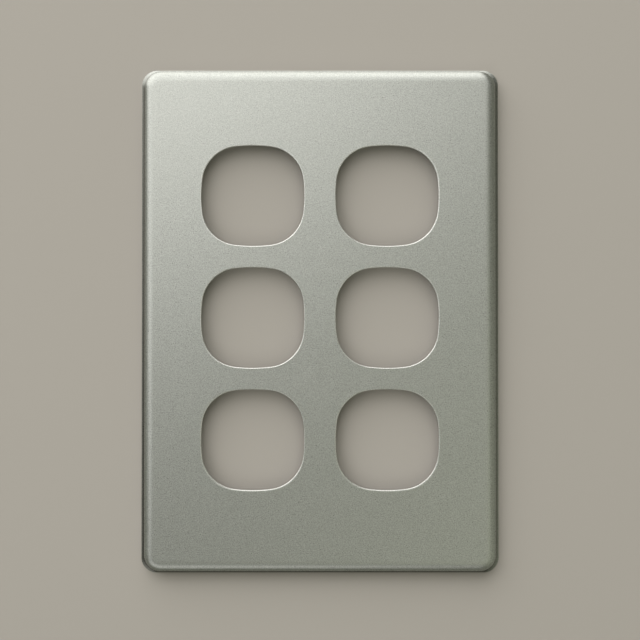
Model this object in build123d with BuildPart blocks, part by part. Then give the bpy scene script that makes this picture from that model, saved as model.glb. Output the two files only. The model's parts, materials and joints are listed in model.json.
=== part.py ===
import os

from build123d import *

# Driving dimensions of the pressed switch plate, in millimetres and degrees.
# The plate lies on its foot at Z = 0, face up, with the top of the plate towards +Y.

# Overall form of the pressing
plate_width = 83.8  # across the flared foot
plate_height = 118.0  # across the flared foot
plate_depth = 4.0  # from the foot to the face
sheet_thickness = 0.8

# Rim: the face falls away in a shallow crown, then bends down into the skirt
crown_width = 1.2  # of the crown, in from the skirt
crown_drop = 0.75  # of the crown, down from the face
crown_radius = 3.2  # where the face turns into the crown
bend_radius = 0.3  # where the crown turns into the skirt
hollow_radius = 0.3  # under the bend, on the inside
skirt_corner_radius = 3.4  # plan corner of the skirt
skirt_draft = 2.0  # lean of the skirt, out towards its foot

# Foot: the edge that flares out round the skirt
foot_sides = 0.72  # how far it reaches past the skirt, left and right
foot_ends = 0.45  # and at the top and bottom
foot_rise = 0.7  # height of the flare's slope at the middle of the sheet
lip_height = 0.14  # of the trimmed edge
foot_corner_radius = 3.5  # plan corner of the foot

# One aperture: a square with bowed sides and wide corners
aperture_width = 24.0
aperture_height = 23.5
side_crown = 1.6  # how far each side bows out from its corner points
aperture_corner_radius = 8.7
edge_break = 0.16  # bevel round the pierced edge, on the face side

# Layout of the apertures
columns = 2
rows = 3
column_pitch = 31.4
row_pitch = 28.5
grid_rise = 0.72  # middle of the layout, above the middle of the plate

# The skirt's outside, where it meets the foot's plane
skirt_width = plate_width - 2 * foot_sides
skirt_height = plate_height - 2 * foot_ends

# The middle of the sheet there, where the foot grows out of the skirt
mid_width = skirt_width - sheet_thickness
mid_height = skirt_height - sheet_thickness
mid_corner_radius = skirt_corner_radius - sheet_thickness / 2

# The skirt's inside there
inner_width = mid_width - sheet_thickness
inner_height = mid_height - sheet_thickness
inner_corner_radius = mid_corner_radius - sheet_thickness / 2

# Corner points of an aperture before its corners are rounded
corner_x = aperture_width / 2 - side_crown
corner_y = aperture_height / 2 - side_crown

with BuildSketch() as aperture:
    with BuildLine():
        SagittaArc((corner_x, -corner_y), (corner_x, corner_y), -side_crown)
        SagittaArc((corner_x, corner_y), (-corner_x, corner_y), -side_crown)
        SagittaArc((-corner_x, corner_y), (-corner_x, -corner_y), -side_crown)
        SagittaArc((-corner_x, -corner_y), (corner_x, -corner_y), -side_crown)
    make_face()
    fillet(aperture.vertices(), aperture_corner_radius)

# The hollow behind the face, one sheet thickness in from the face and the skirt
with BuildPart() as hollow:
    with BuildSketch():
        RectangleRounded(inner_width, inner_height, inner_corner_radius)
    extrude(amount=plate_depth - sheet_thickness)
    draft(hollow.faces().filter_by(Axis.Z, reverse=True), Plane.XY, skirt_draft)
    fillet(hollow.faces().sort_by(Axis.Z)[-1].edges(), hollow_radius)

with BuildPart() as cover_plate:
    # The drawn tray: a block that narrows towards its face
    with BuildSketch():
        RectangleRounded(skirt_width, skirt_height, skirt_corner_radius)
    extrude(amount=plate_depth)
    draft(cover_plate.faces().filter_by(Axis.Z, reverse=True), Plane.XY, skirt_draft)

    # The crown along its rim, with both of its edges rounded over
    face = cover_plate.faces().sort_by(Axis.Z)[-1]
    chamfer(face.edges(), crown_width, crown_drop, reference=face)
    shoulder = cover_plate.edges().group_by(Axis.Z)[-3]  # below the face's edges and the crown's corners
    fillet(shoulder, bend_radius)
    fillet(cover_plate.faces().sort_by(Axis.Z)[-1].edges(), crown_radius)

    # The foot, flared out from the middle of the sheet to its trimmed lip
    with BuildSketch(Plane.XY.offset(foot_rise)):
        RectangleRounded(mid_width, mid_height, mid_corner_radius)
    with BuildSketch(Plane.XY.offset(lip_height)):
        RectangleRounded(plate_width, plate_height, foot_corner_radius)
    loft(ruled=True)
    with BuildSketch():
        RectangleRounded(plate_width, plate_height, foot_corner_radius)
    extrude(amount=lip_height)

    # Open at the back
    add(hollow.part, mode=Mode.SUBTRACT)

    # The apertures, pierced from the face
    with BuildSketch(Plane.XY.offset(plate_depth)):
        with Locations((0, grid_rise)):
            with GridLocations(column_pitch, row_pitch, columns, rows):
                add(aperture.sketch)
    extrude(amount=-plate_depth, mode=Mode.SUBTRACT)
    chamfer(cover_plate.edges(Select.LAST).group_by(Axis.Z)[-1], edge_break)

cover_plate.part.label = "cover_plate"

os.makedirs("parts", exist_ok=True)
export_step(cover_plate.part, "parts/cover_plate.step")
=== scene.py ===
import json
import math

import bpy
import numpy as np
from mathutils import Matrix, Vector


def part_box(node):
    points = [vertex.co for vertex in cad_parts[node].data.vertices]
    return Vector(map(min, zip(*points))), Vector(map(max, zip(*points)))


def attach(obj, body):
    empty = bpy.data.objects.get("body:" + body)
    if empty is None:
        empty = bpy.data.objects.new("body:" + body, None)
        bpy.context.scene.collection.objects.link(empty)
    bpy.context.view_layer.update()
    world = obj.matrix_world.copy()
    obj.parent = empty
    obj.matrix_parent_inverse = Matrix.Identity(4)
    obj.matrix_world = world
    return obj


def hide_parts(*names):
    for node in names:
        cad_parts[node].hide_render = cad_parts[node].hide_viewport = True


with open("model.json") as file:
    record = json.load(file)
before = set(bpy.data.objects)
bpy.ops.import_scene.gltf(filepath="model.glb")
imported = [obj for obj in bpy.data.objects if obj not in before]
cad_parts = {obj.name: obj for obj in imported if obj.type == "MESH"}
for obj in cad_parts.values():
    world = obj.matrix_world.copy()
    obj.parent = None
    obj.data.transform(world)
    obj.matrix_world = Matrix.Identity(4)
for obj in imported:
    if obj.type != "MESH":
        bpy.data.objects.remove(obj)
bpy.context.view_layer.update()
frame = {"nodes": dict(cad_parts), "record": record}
scene = bpy.context.scene
mm = 0.001
print("frame loaded:", sorted(frame["nodes"]))

# Cover plate, in millimetres and degrees
# Its outside size and the places of its apertures come from the frame.
coverPlate = {
    "sheet": 0.8,  # thickness of the metal
    "footCorner": 3.5,  # plan corner of the foot
    "skirtCorner": 4.0,  # plan corner of the skirt
    "rimReach": 2.65,  # how far out the rounded rim goes past the flat face
    "rimPower": 2.0,  # how late the rim's bend tightens
    "edgeLean": 45.0,  # how steep the rim gets before its edge turns down into the skirt
    "edgeRadius": 0.2,  # of that edge
    "innerRadius": 0.3,  # hollow of the bend on the underside
    "skirtDraft": 2.0,  # lean of the skirt
    "footSides": 0.72,  # how far the foot flares out past the skirt, left and right
    "footEnds": 0.45,  # and at the top and bottom
    "footHeight": 0.46,  # where the flare leaves the skirt
    "lipHeight": 0.14,  # of the flare's trimmed edge
    "creaseShadeHeight": 0.6,  # how far up the skirt the painted crease shade reaches
    "creaseShadeReach": 2.0,  # where the painted crease shade would fade out over the foot, in foot widths
    "creaseShadeTop": 0.0,  # share of the painted crease shade that is left along the top, where the light falls
    "creaseShadeRight": 0.6,  # and along the right; the left and bottom keep all of it
    "apertureWidth": 24.0,
    "apertureHeight": 23.5,
    "sideCrown": 1.6,  # how far an aperture's sides bow out
    "apertureCorner": 8.7,
    "edgeRoll": 0.16,  # rolled edge that piercing leaves on the face
    "sideSteps": 48,  # mesh steps along one side of an aperture
    "cornerSteps": 12,  # mesh steps on half a plan corner
    "ringSteps": 12,  # mesh steps from an aperture to the end of its cell
    "bendSteps": 24,  # mesh steps along the rim's bend
    "fineSteps": 40,  # sums worked out in each of those steps
    "rollSteps": 6,  # mesh steps on a small arc, the skirt or the foot
    "wallSteps": 4,  # mesh steps up the inside of the skirt or of an aperture
    "sharpAngle": 35.0,  # edges that turn by more than this stay crisp
    "placeDigits": 3,  # decimals that tell columns and rows apart
    "seamDigits": 4,  # decimals to which points on a seam are the same
}


# Even angles along an arc, with both of its ends.
def arcAngles(start, end, steps):
    return np.linspace(math.radians(start), math.radians(end), steps + 1)


# An aperture's outline: each point has a direction, which turns evenly with the length along the
# arc that it lies on (side arc, corner arc, side arc), and lies one radius from that arc's centre.
# A quarter is worked out and mirrored.
def apertureOutline(p):
    halfX = p["apertureWidth"] / 2
    halfY = p["apertureHeight"] / 2
    crown = p["sideCrown"]
    corner = p["apertureCorner"]
    radiusX = ((halfY - crown) ** 2 + crown**2) / (2 * crown)  # upright side, from its chord and crown
    radiusY = ((halfX - crown) ** 2 + crown**2) / (2 * crown)
    centreX = np.array([halfX - radiusX, 0.0])
    centreY = np.array([0.0, halfY - radiusY])
    between = centreY - centreX  # the corner arc touches both side arcs from inside
    gap = np.hypot(*between)
    along = ((radiusX - corner) ** 2 - (radiusY - corner) ** 2 + gap**2) / (2 * gap)
    across = math.sqrt((radiusX - corner) ** 2 - along**2)
    unit = between / gap
    centreC = centreX + unit * along + np.array([-unit[1], unit[0]]) * across
    first = math.atan2(*(centreC - centreX)[::-1])
    last = math.atan2(*(centreC - centreY)[::-1])
    turns = np.array([0.0, first, last, math.pi / 2])
    lengths = np.concatenate(([0.0], np.cumsum(np.diff(turns) * [radiusX, corner, radiusY])))
    half = p["sideSteps"] // 2
    angle = np.interp(np.linspace(0, lengths[-1], 2 * half + 1), lengths, turns)
    normal = np.stack([np.cos(angle), np.sin(angle)], axis=1)
    arc = np.digitize(angle, [first, last])
    centres = np.stack([centreX, centreC, centreY])
    point = centres[arc] + normal * np.array([radiusX, corner, radiusY])[arc][:, None]

    def fourQuarters(q):
        quarters = [q, q[::-1] * [-1, 1], -q, q[::-1] * [1, -1]]
        ring = np.concatenate([quarter[:-1] for quarter in quarters])
        return np.roll(ring, half, axis=0)  # starts in the lower right corner

    return fourQuarters(point), fourQuarters(normal)


# One side of a cell, walked anticlockwise: even steps along the straight, and even angles on a
# rounded end.
def cellSide(start, end, radius, roundStart, roundEnd, p):
    start = np.array(start)
    span = np.array(end) - start
    length = np.hypot(*span)
    ahead = span / length
    outward = np.array([ahead[1], -ahead[0]])
    steps = p["cornerSteps"]
    low = radius if roundStart else 0.0
    high = length - radius if roundEnd else length
    straight = p["sideSteps"] - steps * (roundStart + roundEnd)
    base = np.linspace(low, high, straight, endpoint=False)
    turn = np.zeros(straight)
    eighth = np.linspace(0, math.pi / 4, steps, endpoint=False)
    if roundStart:
        base = np.concatenate((np.full(steps, low), base))
        turn = np.concatenate((eighth - math.pi / 4, turn))
    if roundEnd:
        base = np.concatenate((base, np.full(steps, high)))
        turn = np.concatenate((turn, eighth))
    along = base + radius * np.sin(turn)
    inset = radius * (1 - np.cos(turn))
    point = start + along[:, None] * ahead - inset[:, None] * outward
    normal = np.cos(turn)[:, None] * outward + np.sin(turn)[:, None] * ahead
    return point, normal


# The rim's bend tightens as it goes: its lean from level grows with a power of the length along it,
# and each point is the sum of all the short steps before it, cosine of the lean outwards and sine
# down. A small arc turns its edge down.
def rimCurve(p, top):
    edge, skirt = math.radians(p["edgeLean"]), math.radians(90 - p["skirtDraft"])
    turn = np.linspace(edge, skirt, p["rollSteps"] + 1)[1:]
    arc = np.stack([np.sin(turn) - math.sin(edge), np.cos(turn) - math.cos(edge)], axis=1)
    arc = p["edgeRadius"] * arc
    fine = p["fineSteps"]
    lean = edge * np.linspace(0, 1, fine * p["bendSteps"] + 1) ** p["rimPower"]
    middle = (lean[1:] + lean[:-1]) / 2
    bend = np.cumsum(np.stack([np.cos(middle), -np.sin(middle)], axis=1), axis=0)
    bend = np.concatenate(([[0.0, 0.0]], bend)) * (p["rimReach"] - arc[-1, 0]) / bend[-1, 0]
    return np.concatenate((bend[::fine], bend[-1] + arc)) + [0.0, top]


# Section through the rim, as offset from the flat face's outline and height: rim, skirt, flared
# foot, and back up one sheet thickness further in. Each point also says how far out on the foot it is
# and how much painted shade it takes in the crease.
def rimSection(p, depth):
    slope = math.tan(math.radians(p["skirtDraft"]))
    sheet = p["sheet"]
    outside = rimCurve(p, depth)
    end = outside[-1]
    skirtFoot = end[0] + slope * end[1]  # where the skirt's line meets the foot's plane
    crease = np.array([skirtFoot - slope * p["footHeight"], p["footHeight"]])
    out = np.linspace(0, 1, p["rollSteps"] + 1)[1:]
    skirt = end + out[:, None] * (crease - end)
    foot = crease - out[:, None] * [0, p["footHeight"] - p["lipHeight"]]
    radius = p["innerRadius"]
    turn = arcAngles(0, 90, p["rollSteps"])
    hollowX = end[0] - sheet - radius + radius * np.cos(turn)
    hollowZ = depth - sheet - radius + radius * np.sin(turn)
    hollow = np.stack([hollowX, hollowZ], axis=1)
    wall = np.linspace([skirtFoot - sheet, 0.0], hollow[0], p["wallSteps"] + 1)[:-1]
    under = [[0.0, depth - sheet]]
    section = np.concatenate((outside, skirt, foot, [[crease[0], 0.0]], wall, hollow, under))
    inside = np.zeros(len(wall) + len(hollow) + 1)
    onFoot = np.concatenate((np.zeros(len(outside) + len(skirt)), out, [1.0], inside))
    # painted shade in the crease: strongest where the skirt meets the foot, fading up the skirt and out
    # over the foot
    shadeUpSkirt = np.clip(1 - (skirt[:, 1] - p["footHeight"]) / p["creaseShadeHeight"], 0, 1)
    shadeOverFoot = np.clip(1 - out / p["creaseShadeReach"], 0, 1)
    paintedCreaseShade = np.concatenate((np.zeros(len(outside)), shadeUpSkirt, shadeOverFoot, [0.0], inside))
    return section, onFoot, paintedCreaseShade, skirtFoot


# A cell of the plate round one aperture: from the underside's outline in to the pierced edge, up its
# wall, over the rolled edge, and out across the face. Each row mixes the aperture's outline, set off
# by its own amount, with the cell's outline.
def cellRows(p, depth, bore, boreNormal, outline):
    sheet = p["sheet"]
    roll = p["edgeRoll"]
    mixOut = (1 - np.cos(np.linspace(0, math.pi, p["ringSteps"] + 1))) / 2
    turn = arcAngles(0, 90, p["rollSteps"])
    wall = np.linspace(depth - sheet, depth - roll, p["wallSteps"] + 1)[1:]
    under = len(mixOut)
    over = len(wall) + len(turn) - 1
    mix = np.concatenate((mixOut[::-1], np.zeros(over), mixOut[1:]))
    rollOffset = roll * (1 - np.cos(turn[1:]))
    offset = np.concatenate((np.zeros(under + len(wall)), rollOffset, np.full(under - 1, roll)))
    rollHeight = depth - roll + roll * np.sin(turn[1:])
    height = np.concatenate((np.full(under, depth - sheet), wall, rollHeight, np.full(under - 1, depth)))
    cut = np.zeros(len(mix))
    cut[under - 1 : under + over] = 1.0
    mark = np.stack([cut, np.zeros(len(mix))], axis=1)
    marks = np.broadcast_to(mark[:, None], (len(mix), len(bore), 2))
    inner = bore + offset[:, None, None] * boreNormal
    flat = (1 - mix)[:, None, None] * inner + mix[:, None, None] * outline
    rows = np.concatenate((flat, np.broadcast_to(height[:, None, None], flat.shape[:2] + (1,))), axis=2)
    return rows, marks


# Faces of a grid whose rows follow a section and whose columns run anticlockwise round a closed path.
def closedGridFaces(rows, columns):
    index = np.arange(rows * columns).reshape(rows, columns)
    ahead = np.roll(index, -1, axis=1)
    return np.stack([index[:-1], index[1:], ahead[1:], ahead[:-1]], axis=-1).reshape(-1, 4)


# A rounded outline through the ends of all the cells' sides, walked anticlockwise from the lower
# right corner.
def outlinePath(linesX, linesY, radius, p):
    right = [(linesX[-1], y) for y in linesY]
    top = [(x, linesY[-1]) for x in linesX[::-1]]
    left = [(linesX[0], y) for y in linesY[::-1]]
    bottom = [(x, linesY[0]) for x in linesX]
    parts = []
    for run in (right, top, left, bottom):
        last = len(run) - 2
        parts += [cellSide(run[i], run[i + 1], radius, i == 0, i == last, p) for i in range(last + 1)]
    return np.concatenate([part[0] for part in parts]), np.concatenate([part[1] for part in parts])


# The whole skin: a cell round each aperture, and the rim's section carried round the flat face's
# outline. Each point of the rim moves towards the foot's own outline by its share on the foot.
def buildCoverPlate(p):
    low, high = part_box("cover_plate")
    width = (high.x - low.x) / mm
    height = (high.y - low.y) / mm
    depth = (high.z - low.z) / mm
    section, onFoot, paintedCreaseShade, skirtFoot = rimSection(p, depth)
    flatX = width / 2 - p["footSides"] - skirtFoot
    flatY = height / 2 - p["footEnds"] - skirtFoot
    flatCorner = p["skirtCorner"] - skirtFoot

    openings = frame["record"]["physics"]["openings"]
    apertures = [o["box_m"] for o in openings if o["name"].startswith("aperture")]
    centres = (np.array(apertures).mean(axis=1)[:, :2] / mm).round(p["placeDigits"])
    columns = np.unique(centres[:, 0])
    rows = np.unique(centres[:, 1])
    middleX = (columns[1:] + columns[:-1]) / 2
    middleY = (rows[1:] + rows[:-1]) / 2
    linesX = np.concatenate(([-flatX], middleX, [flatX]))
    linesY = np.concatenate(([-flatY], middleY, [flatY]))

    bore, boreNormal = apertureOutline(p)
    grids = []
    for c, x in enumerate(columns):
        for r, y in enumerate(rows):
            around = [(c + 1, r), (c + 1, r + 1), (c, r + 1), (c, r)]
            ends = [i in (0, len(columns)) and j in (0, len(rows)) for i, j in around]
            corners = [(linesX[i], linesY[j]) for i, j in around]
            sides = []
            for s in range(4):
                t = (s + 1) % 4
                sides.append(cellSide(corners[s], corners[t], flatCorner, ends[s], ends[t], p)[0])
            grids.append(cellRows(p, depth, bore + [x, y], boreNormal, np.concatenate(sides)))

    path, pathNormal = outlinePath(linesX, linesY, flatCorner, p)
    footX = np.concatenate(([-width / 2], middleX, [width / 2]))
    footY = np.concatenate(([-height / 2], middleY, [height / 2]))
    footPath, _ = outlinePath(footX, footY, p["footCorner"], p)
    onSkirt = path + section[:, 0, None, None] * pathNormal
    rim = onSkirt + onFoot[:, None, None] * (footPath - onSkirt)
    rimHeight = np.broadcast_to(section[:, 1, None, None], rim.shape[:2] + (1,))
    # painted crease shade: how much of it stays follows how the light falls, all along the left and
    # bottom, less along the right, none along the top
    facing = np.clip(pathNormal, 0, 1)
    shadeKept = (1 - (1 - p["creaseShadeRight"]) * facing[:, 0]) * (1 - (1 - p["creaseShadeTop"]) * facing[:, 1])
    paintedShade = paintedCreaseShade[:, None] * shadeKept
    rimMarks = np.stack([np.zeros_like(paintedShade), paintedShade], axis=2)
    grids.append((np.concatenate((rim, rimHeight), axis=2), rimMarks))

    points = np.concatenate([g.reshape(-1, 3) for g, _ in grids])
    marks = np.concatenate([k.reshape(-1, 2) for _, k in grids])
    starts = np.cumsum([0] + [g.shape[0] * g.shape[1] for g, _ in grids[:-1]])
    faces = np.concatenate([closedGridFaces(*g.shape[:2]) + s for (g, _), s in zip(grids, starts)])

    # cells and rim share their outlines: equal points become one, so every seam is closed
    near = points.round(p["seamDigits"])
    _, first, merged = np.unique(near, axis=0, return_index=True, return_inverse=True)
    merged = merged.reshape(-1)
    marked = np.zeros((len(first), 2), np.float32)
    np.maximum.at(marked, merged, marks.astype(np.float32))
    mesh = bpy.data.meshes.new("coverPlateSkin")
    mesh.from_pydata(points[first] * mm, [], merged[faces])
    mesh.update()
    # cutEdge marks the pierced edges; crease carries the painted crease shade
    for name, values in zip(("cutEdge", "crease"), marked.T):
        attribute = mesh.attributes.new(name, "FLOAT", "POINT")
        attribute.data.foreach_set("value", np.ascontiguousarray(values))
    mesh.polygons.foreach_set("use_smooth", np.ones(len(mesh.polygons), bool))
    mesh.set_sharp_from_angle(angle=math.radians(p["sharpAngle"]))
    skin = bpy.data.objects.new("cover_plate_skin", mesh)
    scene.collection.objects.link(skin)
    print("cover plate:", len(mesh.vertices), "points,", len(mesh.polygons), "faces")
    return skin


# Satin metal: grain sizes and depth in millimetres, amounts as shares
satinMetal = {
    "colour": (0.387, 0.392, 0.372),
    "metallic": 0.87,  # the clear oxide on top scatters a little
    "edgeTint": 0.75,  # share of a glancing reflection that is left
    "roughness": 0.32,
    "grainSize": 0.22,
    "grainDetail": 2.0,  # finer layers in the grain
    "grainRange": (0.25, 0.75),  # the noise's own low and high
    "grainColour": 0.31,
    "grainRoughness": 0.10,
    "grainBump": 0.4,
    "grainDepth": 0.01,
    "cutColour": (0.60, 0.60, 0.58),  # pierced edges
    "cutRoughness": 0.28,
    "creaseShadeColour": (0.038, 0.034, 0.024),  # painted shade where the foot meets the skirt
}


def link(tree, source, target):
    tree.links.new(source, target)


def buildSatinMetal(p):
    material = bpy.data.materials.new("satin metal")
    material.use_nodes = True
    tree = material.node_tree
    nodes = tree.nodes
    nodes.clear()
    output = nodes.new("ShaderNodeOutputMaterial")
    shader = nodes.new("ShaderNodeBsdfPrincipled")
    link(tree, shader.outputs["BSDF"], output.inputs["Surface"])
    shader.inputs["Metallic"].default_value = p["metallic"]
    shader.inputs["Specular Tint"].default_value = (*[p["edgeTint"]] * 3, 1)
    place = nodes.new("ShaderNodeTexCoord")

    grain = nodes.new("ShaderNodeTexNoise")
    grain.inputs["Scale"].default_value = 1 / (p["grainSize"] * mm)
    grain.inputs["Detail"].default_value = p["grainDetail"]
    link(tree, place.outputs["Object"], grain.inputs["Vector"])

    shade = nodes.new("ShaderNodeMapRange")
    shade.inputs["From Min"].default_value = p["grainRange"][0]
    shade.inputs["From Max"].default_value = p["grainRange"][1]
    shade.inputs["To Min"].default_value = 1 - p["grainColour"]
    shade.inputs["To Max"].default_value = 1 + p["grainColour"]
    link(tree, grain.outputs["Fac"], shade.inputs["Value"])

    cut = nodes.new("ShaderNodeAttribute")
    cut.attribute_name = "cutEdge"
    colour = nodes.new("ShaderNodeMix")
    colour.data_type = "RGBA"
    colour.inputs["A"].default_value = (*p["colour"], 1)
    colour.inputs["B"].default_value = (*p["cutColour"], 1)
    link(tree, cut.outputs["Fac"], colour.inputs["Factor"])
    # painted crease shade: the crease attribute mixes the colour towards near black
    crease = nodes.new("ShaderNodeAttribute")
    crease.attribute_name = "crease"
    creaseShadeMix = nodes.new("ShaderNodeMix")
    creaseShadeMix.data_type = "RGBA"
    creaseShadeMix.inputs["B"].default_value = (*p["creaseShadeColour"], 1)
    link(tree, crease.outputs["Fac"], creaseShadeMix.inputs["Factor"])
    link(tree, colour.outputs["Result"], creaseShadeMix.inputs["A"])
    tone = nodes.new("ShaderNodeVectorMath")
    tone.operation = "SCALE"
    link(tree, creaseShadeMix.outputs["Result"], tone.inputs["Vector"])
    link(tree, shade.outputs["Result"], tone.inputs["Scale"])
    link(tree, tone.outputs["Vector"], shader.inputs["Base Color"])

    rough = nodes.new("ShaderNodeMapRange")
    rough.inputs["To Min"].default_value = p["roughness"] - p["grainRoughness"]
    rough.inputs["To Max"].default_value = p["roughness"] + p["grainRoughness"]
    link(tree, grain.outputs["Fac"], rough.inputs["Value"])
    roughMix = nodes.new("ShaderNodeMix")
    roughMix.inputs["B"].default_value = p["cutRoughness"]
    link(tree, rough.outputs["Result"], roughMix.inputs["A"])
    link(tree, cut.outputs["Fac"], roughMix.inputs["Factor"])
    link(tree, roughMix.outputs["Result"], shader.inputs["Roughness"])

    bump = nodes.new("ShaderNodeBump")
    bump.inputs["Strength"].default_value = p["grainBump"]
    bump.inputs["Distance"].default_value = p["grainDepth"] * mm
    link(tree, grain.outputs["Fac"], bump.inputs["Height"])
    link(tree, bump.outputs["Normal"], shader.inputs["Normal"])
    return material


plate = buildCoverPlate(coverPlate)
plate.data.materials.append(buildSatinMetal(satinMetal))
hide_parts("cover_plate")
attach(plate, "root")

# Floor, lights and camera, in metres, degrees and watts
floorSheet = {"size": 12.0, "colour": (0.406, 0.375, 0.346), "roughness": 0.9, "specular": 0.2}
lighting = {
    "skyLow": (0.205, 0.215, 0.163),  # soft light from all round, at the floor and overhead
    "skyHigh": (0.085, 0.089, 0.068),
    "skyTop": 78.4,  # how high up the sky its low tone has faded out
    "lampDistance": 1.2,
    # around is anticlockwise from +X and above is from the floor
    "key": {"around": 115, "above": 37.9, "width": 1.7, "length": 2.38, "power": 16.2},
    "wide": {"around": 116, "above": 31.4, "width": 2.26, "length": 1.73, "power": 14.9},
    "high": {"around": 112, "above": 76.6, "width": 0.29, "length": 0.29, "power": 0.54},
    "left": {"around": 173, "above": 66.3, "width": 0.29, "length": 0.29, "power": 0.21},
    "foot": {"around": 244, "above": 51.1, "width": 0.9, "length": 0.6, "power": 1.72},
    "low": {"around": 322, "above": 71.5, "width": 0.56, "length": 0.56, "power": 0.57},
    "right": {"around": 332.6, "above": 36.9, "width": 1.0, "length": 1.0, "power": 0.75},
    "keyColour": (1.0, 1.0, 0.975),
    "fillColour": (1.0, 1.05, 0.80),  # of low and right
}
viewpoint = {
    "distance": 0.52,
    "tilt": 1.2,  # from straight down, towards the bottom of the plate
    "frame": 0.1506,  # width that the picture takes in at the aim
    "sensor": 36.0,  # in millimetres
    "aim": (0.0, 0.00024, 0.0),
}


def buildFloor(p):
    corner = np.array([[-1, -1, 0], [1, -1, 0], [1, 1, 0], [-1, 1, 0]]) * p["size"] / 2
    mesh = bpy.data.meshes.new("floor")
    mesh.from_pydata(corner, [], [(0, 1, 2, 3)])
    floor = bpy.data.objects.new("floor", mesh)
    scene.collection.objects.link(floor)
    material = bpy.data.materials.new("pale floor")
    material.use_nodes = True
    shader = material.node_tree.nodes["Principled BSDF"]
    shader.inputs["Base Color"].default_value = (*p["colour"], 1)
    shader.inputs["Roughness"].default_value = p["roughness"]
    shader.inputs["Specular IOR Level"].default_value = p["specular"]
    mesh.materials.append(material)


# A softbox faces the middle of the plate, so its own direction is its place turned round.
def softbox(name, p, distance, colour):
    lamp = bpy.data.lights.new(name, "AREA")
    lamp.shape = "RECTANGLE"
    lamp.size = p["width"]
    lamp.size_y = p["length"]
    lamp.energy = p["power"]
    lamp.color = colour
    thing = bpy.data.objects.new(name, lamp)
    scene.collection.objects.link(thing)
    around, above = math.radians(p["around"]), math.radians(p["above"])
    level = math.cos(above)
    toLamp = np.array([level * math.cos(around), level * math.sin(around), math.sin(above)])
    thing.location = distance * toLamp
    thing.rotation_euler = (math.pi / 2 - above, 0, around + math.pi / 2)


def buildLights(p):
    world = bpy.data.worlds.new("studio")
    scene.world = world
    world.use_nodes = True
    tree = world.node_tree
    place = tree.nodes.new("ShaderNodeTexCoord")
    parts = tree.nodes.new("ShaderNodeSeparateXYZ")
    link(tree, place.outputs["Generated"], parts.inputs["Vector"])
    rise = tree.nodes.new("ShaderNodeMath")
    rise.operation = "ARCSINE"
    link(tree, parts.outputs["Z"], rise.inputs[0])
    sky = tree.nodes.new("ShaderNodeMapRange")
    sky.data_type = "FLOAT_VECTOR"
    sky.interpolation_type = "SMOOTHSTEP"
    # sockets 6 to 10 take vectors: value, from low, from high, to low, to high
    link(tree, rise.outputs["Value"], sky.inputs[6])
    sky.inputs[7].default_value = (0, 0, 0)
    sky.inputs[8].default_value = [math.radians(p["skyTop"])] * 3
    sky.inputs[9].default_value = p["skyLow"]
    sky.inputs[10].default_value = p["skyHigh"]
    link(tree, sky.outputs["Vector"], tree.nodes["Background"].inputs["Color"])
    for name in ("key", "wide", "high", "left", "foot"):
        softbox(name, p[name], p["lampDistance"], p["keyColour"])
    for name in ("low", "right"):
        softbox(name, p[name], p["lampDistance"], p["fillColour"])


def buildCamera(p):
    lens = bpy.data.cameras.new("camera")
    lens.sensor_width = p["sensor"]
    lens.lens = lens.sensor_width * p["distance"] / p["frame"]
    camera = bpy.data.objects.new("camera", lens)
    scene.collection.objects.link(camera)
    tilt = math.radians(p["tilt"])
    toCamera = np.array([0, -math.sin(tilt), math.cos(tilt)])
    camera.location = np.array(p["aim"]) + p["distance"] * toCamera
    camera.rotation_euler = (tilt, 0, 0)
    scene.camera = camera


buildFloor(floorSheet)
buildLights(lighting)
buildCamera(viewpoint)
scene.view_settings.view_transform = "Standard"
print("stage, lights and camera set")
